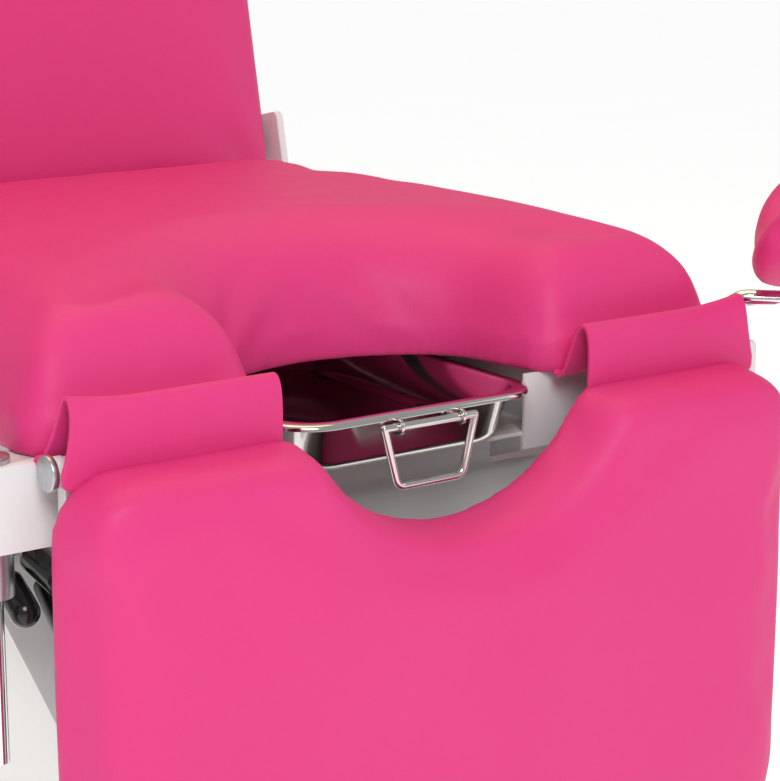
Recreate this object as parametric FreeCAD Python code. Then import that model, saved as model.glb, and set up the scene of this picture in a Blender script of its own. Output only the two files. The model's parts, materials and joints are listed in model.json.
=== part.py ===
"""Gynecological examination chair on a fixed pedestal, in millimetres.

The seat tilts on the pedestal, the backrest reclines, the leg rest folds, the drain pan slides out under
the seat's U cut, and two knee crutches stand on bent rods beside the seat. Everything is drawn from the
seat's datum: x across the chair, y back from the front edge of the seat frame, z up from the seat's
underside. The finished solids then move so that z = 0 is the floor and y = 0 is the middle of the chair.
"""
import FreeCAD
import Part
import math
import os

V = FreeCAD.Vector

# Overall places
seat_height = 760.0          # floor to the seat's underside
base_middle = 250.0          # middle of the base behind the datum
part_middle = 288.0          # middle of the whole chair behind the datum
running_gap = 0.05           # radial clearance of a pin or rod that turns or slides
soft_gap = 0.3               # clearance beside a cushion or between bodies
corner_share = 0.2           # least share of a corner's radius that an inset leaves

# Square tubes of the seat frame
tube_height = 60.0
tube_width = 40.0
tube_wall = 3.0
rail_inner = 190.0           # inner face of each rail from the middle
rail_rear = 665.0
beam_front = -22.0           # front face of the front beams
beam_end = 350.0             # outer end of the front beams from the middle
tilt_axis_z = -30.0
tilt_pin_radius = 10.0
mid_bar_y = 460.0            # front face of the mid crossbar
rear_bar_size = 40.0
tilt_bar_y = 150.0           # middle of the tilt crossbar
tilt_bar_drop = 20.0         # gap between the rails' underside and the tilt crossbar
tilt_bar_size = 30.0

# Seat cushion and board
seat_half_width = 312.0
seat_front = -24.0
seat_rear = 600.0
seat_crown_y = 215.0         # place and height of the highest point
seat_crown_z = 105.0
seat_crown_radius = 6600.0
seat_cut_radius = 150.0      # the U cut is a circle about a point in front of the seat
seat_cut_middle = -6.0       # that point from the seat's front
seat_corner = 30.0
seat_lip = 28.0              # corner between the front and the U cut
seat_bottom_round = 12.0
seat_top_round = 91.0        # height and depth of the rounded sides
seat_top_inset = 82.0
seat_rear_share = 0.3        # share of the rounding at the rear side
board_thickness = 10.0
seat_board_inset = 34.0

# Flaps between the seat and the leg rest
flap_inner = 138.0
flap_outer = 300.0
flap_thickness = 3.0
flap_foot_y = -20.5
flap_bend_y = -24.0
flap_peak_y = -53.5
flap_peak_z = 53.0
flap_seam_y = -59.0
flap_bend_round = 5.0
flap_peak_round = 6.0

# Leg rest, hanging
leg_hinge_y = -42.0
leg_hinge_z = -3.0
leg_pin_radius = 6.0
leg_pin_head_radius = 12.6
leg_pin_head = 5.0
leg_half_width = 318.0
leg_length = 425.0
leg_thickness = 68.0
leg_back_y = -55.0           # back face of the leg rest cushion
leg_crown_radius = 6000.0
leg_cut_radius = 146.0       # the U cut is a circle about a point above the leg rest
leg_cut_middle = -66.0       # that point from the top, counted downwards
leg_lip = 24.0
leg_top_corner = 45.0
leg_bottom_corner = 110.0
leg_back_round = 6.0
leg_front_round = 40.0       # height and depth of the rounded sides
leg_front_inset = 32.0
leg_board_inset = 32.0
leg_arm_inner = 289.5
leg_arm_thickness = 8.0
leg_arm_depth = 12.0
leg_arm_length = 330.0
leg_arm_eye = 10.0
leg_lug_eye = 11.0
leg_lug_rise = 3.0           # top of each lug's foot above the hinge axis
leg_strap_z = -200.0
leg_strap_height = 40.0
leg_strap_thickness = 6.0
side_play = 0.5              # sideways gap between two hinge plates

# Backrest, drawn lying flat and turned up to its rest angle
back_hinge_y = 640.0
back_hinge_z = 50.0
back_pin_radius = 8.0
back_upright = 78.0          # degrees between flat and the rest angle
back_half_width = 313.0
back_start = -33.0           # lower end from the hinge
back_length = 720.0
back_top_height = 35.0       # crown above the hinge, lying flat
back_thickness = 70.0
back_crown_radius = 7000.0
back_corner = 70.0
back_top_round = 50.0         # height and depth of the rounded sides
back_top_inset = 48.0
back_bottom_round = 14.0
back_board_thickness = 12.0
back_board_inset = 18.0
back_arm_inner = 315.0
back_arm_thickness = 8.0
back_arm_eye = 18.0
back_strap_low = 27.0        # strap across the back, from the hinge
back_strap_high = 79.0
back_strap_thickness = 8.0
back_bar_half_gap = 150.0
back_bar_width = 40.0
back_bar_length = 380.0
back_arm_corner = 8.0

# Lockable gas springs
spring_radius = 11.0
spring_wall = 2.0
spring_gland = 12.0
spring_cylinder = 192.0
spring_rod_radius = 5.0
spring_pin_radius = 5.0
spring_eye_radius = 9.0
spring_eye_half = 12.5
spring_plate_thickness = 6.0
spring_plate_round = 21.0
spring_slot = 9.5            # play of the open pivot at each rod end
spring_root = 8.0            # cylinder starts this far from its pivot
back_anchor_y = 380.0
back_anchor_z = -170.0
back_crank = 74.0
back_crank_angle = -20.6     # degrees of the crank from +y with the backrest up
leg_spring_x = -170.0
leg_anchor_y = 330.0
leg_anchor_z = -60.0
leg_crank = 45.0
leg_crank_angle = -45.0      # degrees of the crank from +y with the leg rest hanging
tilt_anchor_z = -450.0
tilt_pivot_z = -130.0
tilt_lug_eye = 11.0
back_pin_shift = V(0, 4.25, -7.65)   # rod pin at rest from the middle of its slot
leg_pin_shift = V(0, -0.4, -7.4)
back_rod_start = 190.0
leg_rod_start = 112.0
tilt_rod_start = 120.0

# Drain pan and its runners
pan_rim_half = 115.0
pan_front = -40.0
pan_length = 340.0
pan_rim_z = -5.0
pan_depth = 41.0
pan_wall = 1.5
pan_rim = 10.0
pan_taper = 9.0
pan_corner = 42.0
runner_wall_x = 143.0
runner_sheet = 3.0
runner_ledge = 70.0          # inner edge of the ledge from the middle
runner_flange = 178.0
runner_front = -5.0
runner_apron_inner = 119.0   # plate across the right runner's front
runner_apron_outer = 187.0
runner_rear = 300.0
handle_wire = 3.0
handle_top_half = 41.0
handle_bottom_half = 29.5
handle_drop = 45.0
handle_pivot_z = -12.0
handle_stand_off = 6.5       # handle axis in front of the pan's rim
handle_bend = 8.0
lug_thickness = 3.0
lug_radius = 6.0

# Release levers
lever_pivot_y = 70.0
lever_pivot_z = -72.0
lever_axle_radius = 4.0
lever_hub_radius = 9.0
lever_hub_half = 5.0
lever_rod_radius = 4.0
lever_grip_radius = 10.5
lever_grip_start = 48.0
lever_ends = {
    "seat_tilt_lever": V(-290.0, -20.0, -88.0),
    "backrest_lever": V(-308.0, 2.0, -111.5),
    "leg_rest_lever": V(-275.0, -2.0, -135.0),
}
lever_cheek = 3.0
lever_cheek_gap = 4.0

# Leg supports
support_x = 333.0
support_y = -2.0
support_rod_radius = 7.0
support_bend = 20.0
support_arm_z = 35.5
support_arm_length = 235.0
support_rod_bottom = -262.0
left_support_raise = 48.0
left_arm_angle = 180.0       # degrees of the arm from +x
right_arm_angle = -45.0
bush_radius = 13.0
bush_collar_radius = 15.0
bush_collar_height = 33.0
bush_flange = 4.0
knob_screw_radius = 4.0
knob_screw_end = 30.0
knob_radius = 16.0
knob_length = 18.0
knob_lobes = 6
knob_scallop = 5.0
knob_cap = 1.0               # thickness of the knob over its screw
left_knob_angle = 150.0
right_knob_angle = 30.0
clamp_start = 110.0
clamp_length = 50.0
clamp_half_width = 18.0
clamp_bottom = 14.5          # below the arm's axis
clamp_top = 9.5              # above the arm's axis
saddle_thickness = 2.5
saddle_half_angle = 32.0
saddle_length = 130.0
crutch_start = 18.0
crutch_length = 230.0
crutch_radius = 113.0
crutch_thickness = 38.0
crutch_half_angle = 75.0
crutch_round = 14.0
crutch_end_low = 24.0        # rounding of the ends seen from the side, below and above
crutch_end_high = 68.0

# Pedestal
cradle_front_y = 60.0
cradle_rear_y = 437.0
cradle_sheet = 4.0
cradle_top_half = 318.0
cradle_top_z = -90.0
cradle_foot_half = 150.0
cradle_foot_z = -470.0
cradle_rear_top_z = -125.0
cradle_tab_half = 138.0
cradle_tab_z = -54.0
cradle_notch_half = 40.0
cradle_notch_z = -210.0
cradle_tip_corner = 6.0
cradle_tab_corner = 8.0
cradle_notch_corner = 16.0
bearing_inner = 236.0
bearing_thickness = 10.0
bearing_half_width = 60.0
bearing_eye = 26.0
column_front = 110.0
column_rear = 390.0
column_wall = 4.0
flange_half_width = 200.0
flange_overhang = 30.0
flange_thickness = 8.0
foot_tube_width = 60.0
foot_tube_height = 50.0
foot_half_length = 310.0
foot_half_gap = 250.0        # foot tubes' middles from the base's middle
runner_tube_x = 110.0
foot_pad_height = 12.0
foot_pad_radius = 22.0
foot_pad_inset = 40.0
foot_pad_taper = 4.0
bolt_radius = 6.0
bolt_head_radius = 10.0
bolt_head = 7.0


# General shapes
def box(x0, x1, y0, y1, z0, z1):
    return Part.makeBox(x1 - x0, y1 - y0, z1 - z0, V(x0, y0, z0))


def bar(start, end, radius):
    along = end - start
    return Part.makeCylinder(radius, along.Length, start, along)


def rounded_corner(before, corner, after, radius):
    """Tangent points and middle of the arc that rounds a corner."""
    back = (before - corner).normalize()
    ahead = (after - corner).normalize()
    half = back.getAngle(ahead) / 2
    middle = corner + (back + ahead).normalize() * (radius / math.sin(half) - radius)
    reach = radius / math.tan(half)
    return corner + back * reach, middle, corner + ahead * reach


def rounded_wire(points, radii, closed=True):
    """Wire of straight runs whose corners are tangent arcs."""
    edges = []
    count = len(points)
    first = None
    last = None
    for i, corner in enumerate(points):
        turning = closed or 0 < i < count - 1
        if turning and radii[i] > 0:
            enter, middle, leave = rounded_corner(points[i - 1], corner, points[(i + 1) % count], radii[i])
        else:
            enter, middle, leave = corner, None, corner
        if last is not None and (enter - last).Length > 1e-6:
            edges.append(Part.makeLine(last, enter))
        if middle is not None:
            edges.append(Part.Arc(enter, middle, leave).toShape())
        if first is None:
            first = enter
        last = leave
    if closed and (first - last).Length > 1e-6:
        edges.append(Part.makeLine(last, first))
    return Part.Wire(edges)


def plate(points, radii, along):
    return Part.Face(rounded_wire(points, radii)).extrude(along)


def strip(path, radii, thickness, along):
    """Bent sheet: a path of straight runs and bends, given its thickness to one side of the path."""
    normal_axis = V(along).normalize()
    sides = []
    for i in range(len(path) - 1):
        sides.append((path[i + 1] - path[i]).normalize().cross(normal_axis))
    outer = [path[0] + sides[0] * thickness]
    for i in range(1, len(path) - 1):
        middle = (sides[i - 1] + sides[i]).normalize()
        outer.append(path[i] + middle * (thickness / middle.dot(sides[i])))
    outer.append(path[-1] + sides[-1] * thickness)
    outer_radii = []
    for i, radius in enumerate(radii):
        turn = 0
        if 0 < i < len(path) - 1:
            turn = sides[i - 1].cross(sides[i]).dot(normal_axis)
        outer_radii.append(max(radius + math.copysign(thickness, turn), 0.5) if radius > 0 else 0)
    points = list(path) + outer[::-1]
    return plate(points, list(radii) + outer_radii[::-1], along)


def bent_rod(points, radii, radius):
    path = rounded_wire(points, radii, closed=False)
    along = points[1] - points[0]
    profile = Part.Wire(Part.makeCircle(radius, points[0], along))
    return path.makePipeShell([profile], True, False)


def square_tube(x0, x1, y0, y1, z0, z1, axis):
    """Square tube with closed ends along x, or open ends along y."""
    outer = box(x0, x1, y0, y1, z0, z1)
    w = tube_wall
    if axis == "x":
        return outer.cut(box(x0 + w, x1 - w, y0 + w, y1 - w, z0 + w, z1 - w))
    return outer.cut(box(x0 + w, x1 - w, y0, y1, z0 + w, z1 - w))


def mirrored(shape):
    return shape.mirror(V(0, 0, 0), V(1, 0, 0))


def pair(shape):
    return Part.makeCompound([shape, mirrored(shape)])


def one(shapes):
    """Weld shapes into one solid."""
    return shapes[0].fuse(shapes[1:]).removeSplitter()


def crossing(a, along_a, b, along_b):
    """Point where two lines in the xy plane meet."""
    span = b - a
    reach = (span.x * along_b.y - span.y * along_b.x) / (along_a.x * along_b.y - along_a.y * along_b.x)
    return a + along_a * reach


def inset_outline(points, radii, inset):
    """Counterclockwise outline drawn in by an inset, with its corner radii to suit."""
    count = len(points)
    runs = []
    for i, point in enumerate(points):
        along = (points[(i + 1) % count] - point).normalize()
        runs.append((point + V(-along.y, along.x, 0) * inset, along))
    corners = []
    rounds = []
    for i, radius in enumerate(radii):
        before = runs[i - 1]
        after = runs[i]
        corners.append(crossing(*before, *after))
        outward = before[1].cross(after[1]).z > 0
        rounds.append(max(radius - inset, radius * corner_share) if outward else radius + inset)
    return corners, rounds


def cut_outline(place, size, radii, cut, inset, far_share=1.0):
    """Wire of a pad with a round cut in its near side, drawn in by an inset.

    Places are x across and v from the near side, and place() puts them in space. The size is half the
    width and the length, the radii are those of the near and far corners and of the cut's lips, and the
    cut is the radius of its circle and how far in from the near side its middle is.
    """
    near, far, lip = [max(radius - inset, radius * corner_share) for radius in radii]
    side = size[0] - inset
    end = size[1] - inset * far_share
    bow = cut[0] + inset
    lip_v = inset + lip
    lip_x = math.sqrt((bow + lip) ** 2 - (lip_v - cut[1]) ** 2)
    to_cut = V(-lip_x, cut[1] - lip_v).normalize()
    bulge = (to_cut + V(0, -1)).normalize() * lip
    middle_x, middle_v = lip_x + bulge.x, lip_v + bulge.y
    touch_x, touch_v = lip_x + to_cut.x * lip, lip_v + to_cut.y * lip
    corners = [(lip_x, inset), (side, inset), (side, end), (-side, end), (-side, inset), (-lip_x, inset)]
    run = rounded_wire([place(*corner) for corner in corners], [0, near, far, far, near, 0], closed=False)
    arcs = [
        Part.Arc(place(-lip_x, inset), place(-middle_x, middle_v), place(-touch_x, touch_v)),
        Part.Arc(place(-touch_x, touch_v), place(0, cut[1] + bow), place(touch_x, touch_v)),
        Part.Arc(place(touch_x, touch_v), place(middle_x, middle_v), place(lip_x, inset)),
    ]
    return Part.Wire(run.Edges + [arc.toShape() for arc in arcs])


def swelling(height, bottom_round, top_round, top_inset):
    """Levels and insets of a cushion's side: drawn in below, full in the middle, rounded above."""
    levels = []
    for part in (0.0, 0.25, 0.6, 1.0):
        levels.append((bottom_round * part, bottom_round * (1 - math.sqrt(1 - (1 - part) ** 2))))
    for part in (0.0, 0.3, 0.5, 0.65, 0.8, 0.9, 0.97, 1.0):
        levels.append((height - top_round * (1 - part), top_inset * (1 - math.sqrt(1 - part ** 2))))
    return levels


def cushion(outline, levels, crown_radius, crown_middle, along):
    """Closed pad: rounded sides through a stack of outlines, with a shallow dome cut over its top."""
    body = Part.makeLoft([outline(inset, level) for level, inset in levels], True, True)
    return body.common(Part.makeSphere(crown_radius, crown_middle - along * crown_radius))


# Seat frame
def rail():
    tube = square_tube(rail_inner, rail_inner + tube_width, beam_front + tube_width, rail_rear,
                       -tube_height, 0, "y")
    hole = Part.makeCylinder(tilt_pin_radius + running_gap, tube_width,
                             V(rail_inner, base_middle, tilt_axis_z), V(1, 0, 0))
    return tube.cut(hole)


def front_beam():
    tube = square_tube(rail_inner, beam_end, beam_front, beam_front + tube_width, -tube_height, 0, "x")
    bore = Part.makeCylinder(bush_radius + running_gap, tube_height, V(support_x, support_y, -tube_height))
    return tube.cut(bore)


def tilt_crossbar():
    top = -tube_height - tilt_bar_drop
    front = tilt_bar_y - tilt_bar_size / 2
    rear = front + tilt_bar_size
    outer = rail_inner + tube_width
    pieces = [box(-outer, outer, front, rear, top - tilt_bar_size, top)]
    for side in (1, -1):
        inner_x = side * (outer - tilt_bar_size)
        low_x = min(inner_x, side * outer)
        pieces.append(box(low_x, low_x + tilt_bar_size, front, rear, top, -tube_height))
    pivot = V(0, tilt_bar_y, tilt_pivot_z)
    corners = [V(0, front, top - tilt_bar_size), V(0, rear, top - tilt_bar_size)]
    pieces.extend(spring_plates(pivot, corners, spring_slot))
    return one(pieces)


def mid_crossbar():
    return square_tube(-rail_inner, rail_inner, mid_bar_y, mid_bar_y + tube_width, -tube_height, 0, "x")


def rear_crossbar():
    half = back_arm_inner + back_arm_thickness + side_play
    return square_tube(-half, half, rail_rear - rear_bar_size, rail_rear,
                       -tube_height - rear_bar_size, -tube_height, "x")


def eye_plate(x, thickness, centre, eye, foot, hole):
    """Plate across x with a round eye at centre, tangent down to the two ends of its foot."""
    disc = bar(V(x, centre.y, centre.z), V(x + thickness, centre.y, centre.z), eye)
    outline = [V(x, foot[0].y, foot[0].z), V(x, foot[1].y, foot[1].z)]
    outline += tangent_points(x, centre, eye, foot)
    body = Part.Face(Part.makePolygon(outline + outline[:1])).extrude(V(thickness, 0, 0))
    bore = bar(V(x, centre.y, centre.z), V(x + thickness, centre.y, centre.z), hole)
    return one([body, disc]).cut(bore)


def tangent_points(x, centre, eye, foot):
    """Where lines from the two foot corners touch the eye, second corner first."""
    touches = []
    middle = (foot[0] + foot[1]) / 2
    up = V(0, centre.y - middle.y, centre.z - middle.z).normalize()
    side = V(0, foot[1].y - foot[0].y, foot[1].z - foot[0].z)
    side = (side - up * side.dot(up)).normalize()
    for sign in (1, -1):
        spot = centre + side * (sign * eye)
        touches.append(V(x, spot.y, spot.z))
    return touches


def spring_plates(pivot, foot, play):
    """Two plates that hold a gas spring's eye between them."""
    plates = []
    for x in (spring_eye_half + side_play, -spring_eye_half - side_play - spring_plate_thickness):
        plates.append(eye_plate(pivot.x + x, spring_plate_thickness, pivot, spring_plate_round, foot,
                                spring_pin_radius + running_gap + play))
    return plates


def spring_anchors():
    back_foot = [V(0, mid_bar_y, -tube_height), V(0, mid_bar_y + tube_width, -tube_height)]
    back = spring_plates(V(0, back_anchor_y, back_anchor_z), back_foot, 0)
    reach = spring_plate_round
    leg_foot = [V(0, leg_anchor_y - reach, 0), V(0, leg_anchor_y + reach, 0)]
    leg = spring_plates(V(leg_spring_x, leg_anchor_y, leg_anchor_z), leg_foot, 0)
    return Part.makeCompound(back + leg)


def leg_rest_lug():
    x = leg_arm_inner + leg_arm_thickness + side_play
    centre = V(x, leg_hinge_y, leg_hinge_z)
    foot = [V(x, beam_front, leg_hinge_z + leg_lug_rise), V(x, beam_front, leg_hinge_z - leg_lug_eye)]
    return eye_plate(x, leg_arm_thickness, centre, leg_lug_eye, foot, leg_pin_radius + running_gap)


def back_bracket():
    x = back_arm_inner + back_arm_thickness + side_play
    top = V(x, back_hinge_y, back_hinge_z)
    low = -tube_height - rear_bar_size
    foot = [V(x, rail_rear - rear_bar_size, low), V(x, rail_rear, low)]
    return eye_plate(x, back_arm_thickness, top, back_arm_eye, foot, back_pin_radius + running_gap)


def headed_pin(start, end, radius, head_radius, head):
    """Pin along x from start to end, with its head beyond end."""
    along = (end - start).normalize()
    shank = bar(start, end + along * head, radius)
    return one([shank, bar(end, end + along * head, head_radius)])


def hinge_pins():
    pins = []
    leg_end = leg_arm_inner + 2 * leg_arm_thickness + side_play + running_gap
    back_end = back_arm_inner + 2 * back_arm_thickness + side_play + running_gap
    tilt_end = bearing_inner + bearing_thickness + running_gap
    sides = (
        (leg_arm_inner - side_play, leg_end, leg_hinge_y, leg_hinge_z, leg_pin_radius),
        (back_arm_inner, back_end, back_hinge_y, back_hinge_z, back_pin_radius),
        (rail_inner, tilt_end, base_middle, tilt_axis_z, tilt_pin_radius),
    )
    for start, end, y, z, radius in sides:
        head = radius * leg_pin_head_radius / leg_pin_radius
        pin = headed_pin(V(start, y, z), V(end, y, z), radius, head, leg_pin_head)
        pins.extend([pin, mirrored(pin)])
    reach = spring_eye_half + side_play + spring_plate_thickness
    for pivot in (V(0, back_anchor_y, back_anchor_z), V(leg_spring_x, leg_anchor_y, leg_anchor_z)):
        pins.append(bar(pivot - V(reach, 0, 0), pivot + V(reach, 0, 0), spring_pin_radius))
    return Part.makeCompound(pins)


def lever_bracket():
    rear = beam_front + tube_width
    xs = [end.x for end in lever_ends.values()]
    left = min(xs) - lever_hub_half - lever_cheek_gap - lever_cheek
    right = max(xs) + lever_hub_half + lever_cheek_gap
    eye = lever_hub_radius + lever_cheek
    centre = V(0, lever_pivot_y, lever_pivot_z)
    foot = [V(0, rear, lever_pivot_z + eye), V(0, rear, lever_pivot_z + 2 * eye + tube_wall)]
    pieces = [box(left, right + lever_cheek, rear, rear + lever_cheek, -tube_height, foot[1].z)]
    for x in (left, right):
        pieces.append(eye_plate(x, lever_cheek, centre, eye, foot, lever_axle_radius))
    pieces.append(bar(V(left, lever_pivot_y, lever_pivot_z),
                      V(right + lever_cheek, lever_pivot_y, lever_pivot_z), lever_axle_radius))
    return one(pieces)


def pan_runner():
    """Folded sheet with a flange, a wall and a ledge for the pan."""
    ledge_z = pan_rim_z - pan_depth - soft_gap
    path = [V(runner_flange, runner_front, 0), V(runner_wall_x, runner_front, 0),
            V(runner_wall_x, runner_front, ledge_z), V(runner_ledge, runner_front, ledge_z)]
    along = V(0, runner_rear - runner_front, 0)
    return strip(path, [0, runner_sheet, runner_sheet, 0], runner_sheet, along)


def runner_apron():
    """Plate that closes the right runner's front; the leg rest's spring passes the left one's."""
    rear = runner_front
    return box(runner_apron_inner, runner_apron_outer, rear - runner_sheet, rear, -tube_height, 0)


# Seat upholstery
def seat_outline(inset, z):
    size = (seat_half_width, seat_rear - seat_front)
    radii = (seat_corner, seat_corner, seat_lip)
    cut = (seat_cut_radius, seat_cut_middle)
    return cut_outline(lambda x, v: V(x, seat_front + v, z), size, radii, cut, inset, seat_rear_share)


def seat_board():
    return Part.Face(seat_outline(seat_board_inset, 0)).extrude(V(0, 0, board_thickness))


def seat_cushion():
    levels = swelling(seat_crown_z, seat_bottom_round, seat_top_round, seat_top_inset)
    solid = cushion(seat_outline, levels, seat_crown_radius, V(0, seat_crown_y, seat_crown_z), V(0, 0, 1))
    pocket = Part.Face(seat_outline(seat_board_inset - soft_gap, 0))
    return solid.cut(pocket.extrude(V(0, 0, board_thickness + soft_gap)))


def flap():
    path = [V(flap_inner, flap_foot_y, 0), V(flap_inner, flap_bend_y, 0),
            V(flap_inner, flap_peak_y, flap_peak_z), V(flap_inner, flap_seam_y, soft_gap)]
    return strip(path, [0, flap_bend_round, flap_peak_round, 0], flap_thickness,
                 V(flap_outer - flap_inner, 0, 0))


# Leg rest
def leg_outline(inset, level):
    size = (leg_half_width, leg_length)
    radii = (leg_top_corner, leg_bottom_corner, leg_lip)
    cut = (leg_cut_radius, leg_cut_middle)
    return cut_outline(lambda x, v: V(x, leg_back_y - level, -v), size, radii, cut, inset)


def leg_rest_board():
    return Part.Face(leg_outline(leg_board_inset, 0)).extrude(V(0, board_thickness, 0))


def leg_rest_cushion():
    levels = swelling(leg_thickness, leg_back_round, leg_front_round, leg_front_inset)
    middle = V(0, leg_back_y - leg_thickness, -leg_length / 2)
    return cushion(leg_outline, levels, leg_crown_radius, middle, V(0, -1, 0))


def crank_point(y, z, radius, angle):
    turn = math.radians(angle)
    return V(0, y + radius * math.cos(turn), z + radius * math.sin(turn))


def leg_rest_frame():
    face = leg_back_y + board_thickness
    pieces = []
    for x in (leg_arm_inner, -leg_arm_inner - leg_arm_thickness):
        low = leg_hinge_z - leg_arm_length
        pieces.append(box(x, x + leg_arm_thickness, face, face + leg_arm_depth, low, leg_hinge_z))
        hinge = V(x, leg_hinge_y, leg_hinge_z)
        pieces.append(bar(hinge, hinge + V(leg_arm_thickness, 0, 0), leg_arm_eye))
    outer = leg_arm_inner + leg_arm_thickness
    strap_top = leg_strap_z + leg_strap_height
    pieces.append(box(-outer, outer, face, face + leg_strap_thickness, leg_strap_z, strap_top))
    reach = spring_eye_half + side_play + spring_plate_thickness
    pivot = crank_point(leg_hinge_y, leg_hinge_z, leg_crank, leg_crank_angle)
    post_top = pivot.z + spring_plate_round
    pieces.append(box(leg_spring_x - reach, leg_spring_x + reach, face, face + leg_strap_thickness,
                      leg_strap_z, post_top))
    foot = [V(0, face, pivot.z - 2 * spring_plate_round), V(0, face, post_top)]
    pieces.extend(spring_plates(pivot + V(leg_spring_x, 0, 0), foot[::-1], spring_slot))
    frame = one(pieces)
    hole = bar(V(-outer, leg_hinge_y, leg_hinge_z), V(outer, leg_hinge_y, leg_hinge_z),
               leg_pin_radius + running_gap)
    return frame.cut(hole)


# Backrest
def raised(shape):
    """Turn a backrest piece from flat to its rest angle."""
    turned = shape.copy()
    turned.rotate(V(0, back_hinge_y, back_hinge_z), V(1, 0, 0), back_upright)
    return turned


def back_bottom():
    return back_hinge_z + back_top_height - back_thickness


def back_outline(inset, level):
    half = back_half_width
    low = back_hinge_y + back_start
    high = low + back_length
    points = [V(-half, low), V(half, low), V(half, high), V(-half, high)]
    corners, rounds = inset_outline(points, [back_corner] * 4, inset)
    return rounded_wire([V(p.x, p.y, back_bottom() + level) for p in corners], rounds)


def backrest_cushion():
    levels = swelling(back_thickness, back_bottom_round, back_top_round, back_top_inset)
    middle = V(0, back_hinge_y + back_start + back_length / 2, back_hinge_z + back_top_height)
    return raised(cushion(back_outline, levels, back_crown_radius, middle, V(0, 0, 1)))


def backrest_board():
    return raised(Part.Face(back_outline(back_board_inset, 0)).extrude(V(0, 0, -back_board_thickness)))


def backrest_frame():
    under = back_bottom() - back_board_thickness
    low = under - back_strap_thickness
    pieces = []
    outer = back_arm_inner + back_arm_thickness
    arm_low = back_hinge_y - back_arm_eye
    strap_low = back_hinge_y + back_strap_low
    strap_high = back_hinge_y + back_strap_high
    for x in (back_arm_inner, -outer):
        corners = [V(x, arm_low, low), V(x, strap_high, low), V(x, strap_high, back_hinge_z),
                   V(x, arm_low, back_hinge_z)]
        pieces.append(plate(corners, [0, 0, back_arm_corner, back_arm_corner], V(back_arm_thickness, 0, 0)))
        hinge = V(x, back_hinge_y, back_hinge_z)
        pieces.append(bar(hinge, hinge + V(back_arm_thickness, 0, 0), back_arm_eye))
    pieces.append(box(-outer, outer, strap_low, strap_high, low, under))
    for x in (-back_bar_half_gap, back_bar_half_gap):
        pieces.append(box(x - back_bar_width / 2, x + back_bar_width / 2, strap_low,
                          back_hinge_y + back_bar_length, low, under))
    frame = one(pieces)
    hole = bar(V(-outer, back_hinge_y, back_hinge_z), V(outer, back_hinge_y, back_hinge_z),
               back_pin_radius + running_gap)
    frame = raised(frame.cut(hole))
    pivot = crank_point(back_hinge_y, back_hinge_z, back_crank, back_crank_angle)
    turn = math.radians(back_upright)
    strap_z = low - back_hinge_z
    foot = []
    for along in (strap_low - back_hinge_y, strap_high - back_hinge_y):
        foot.append(V(0, back_hinge_y + along * math.cos(turn) - strap_z * math.sin(turn),
                      back_hinge_z + along * math.sin(turn) + strap_z * math.cos(turn)))
    return one([frame] + spring_plates(pivot, foot[::-1], spring_slot))


# Gas springs
def spring_cylinder_solid(anchor, pivot):
    along = (pivot - anchor).normalize()
    across = V(spring_eye_half, 0, 0)
    start = anchor + along * spring_root
    end = start + along * spring_cylinder
    body = one([bar(start, end, spring_radius), bar(anchor - across, anchor + across, spring_eye_radius)])
    cavity = bar(start + along * spring_gland, end - along * spring_gland, spring_radius - spring_wall)
    gland = bar(end - along * (2 * spring_gland), end, spring_rod_radius + running_gap)
    eye = bar(anchor - across, anchor + across, spring_pin_radius + running_gap)
    return body.cut([cavity, gland, eye])


def spring_rod_solid(anchor, pivot, rod_start):
    along = (pivot - anchor).normalize()
    across = V(spring_eye_half, 0, 0)
    pin = V(spring_eye_half + side_play + spring_plate_thickness, 0, 0)
    return one([bar(anchor + along * rod_start, pivot, spring_rod_radius),
                bar(pivot - across, pivot + across, spring_eye_radius),
                bar(pivot - pin, pivot + pin, spring_pin_radius)])


# Drain pan
def pan_rectangle(grow, z, rounding):
    half = pan_rim_half + grow
    front = pan_front - grow
    rear = pan_front + pan_length + grow
    points = [V(-half, front, z), V(half, front, z), V(half, rear, z), V(-half, rear, z)]
    return rounded_wire(points, [rounding] * 4)


def pan_tub(wall):
    """Tapered block of the pan's tub, drawn in by a wall."""
    rounding = pan_corner - pan_rim - wall
    mouth = pan_rectangle(-pan_rim - wall, pan_rim_z, rounding)
    foot = pan_rectangle(-pan_rim - pan_taper - wall, pan_rim_z - pan_depth + wall, rounding)
    return Part.makeLoft([foot, mouth], True, True)


def drain_pan():
    rim = Part.Face(pan_rectangle(0, pan_rim_z, pan_corner)).extrude(V(0, 0, -pan_wall))
    return pan_tub(0).fuse(rim).cut(pan_tub(pan_wall)).removeSplitter()


def handle_y(front):
    if front:
        return pan_front - handle_stand_off
    return pan_front + pan_length + handle_stand_off


def handle(front):
    y = handle_y(front)
    low = handle_pivot_z - handle_drop
    points = [V(-handle_top_half, y, handle_pivot_z), V(-handle_bottom_half, y, low),
              V(handle_bottom_half, y, low), V(handle_top_half, y, handle_pivot_z)]
    bail = bent_rod(points, [0, handle_bend, handle_bend, 0], handle_wire)
    top = bar(points[0], points[3], handle_wire)
    ends = [Part.makeSphere(handle_wire, points[0]), Part.makeSphere(handle_wire, points[3])]
    return one([bail, top] + ends)


def pan_lugs():
    """Four ears under the rim that the bails' top wires turn in."""
    lugs = []
    rim_under = pan_rim_z - pan_wall
    for front in (True, False):
        y = handle_y(front)
        wall = pan_front + pan_rim if front else pan_front + pan_length - pan_rim
        low, high = min(y, wall), max(y, wall)
        for x in (-handle_bottom_half, handle_bottom_half - lug_thickness):
            arm = box(x, x + lug_thickness, low, high, handle_pivot_z - lug_radius, rim_under)
            start = V(x, y, handle_pivot_z)
            end = start + V(lug_thickness, 0, 0)
            eye = bar(start, end, lug_radius)
            bore = bar(start, end, handle_wire + running_gap)
            lugs.append(one([arm, eye]).cut([bore, pan_tub(0)]))
    return Part.makeCompound(lugs)


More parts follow.
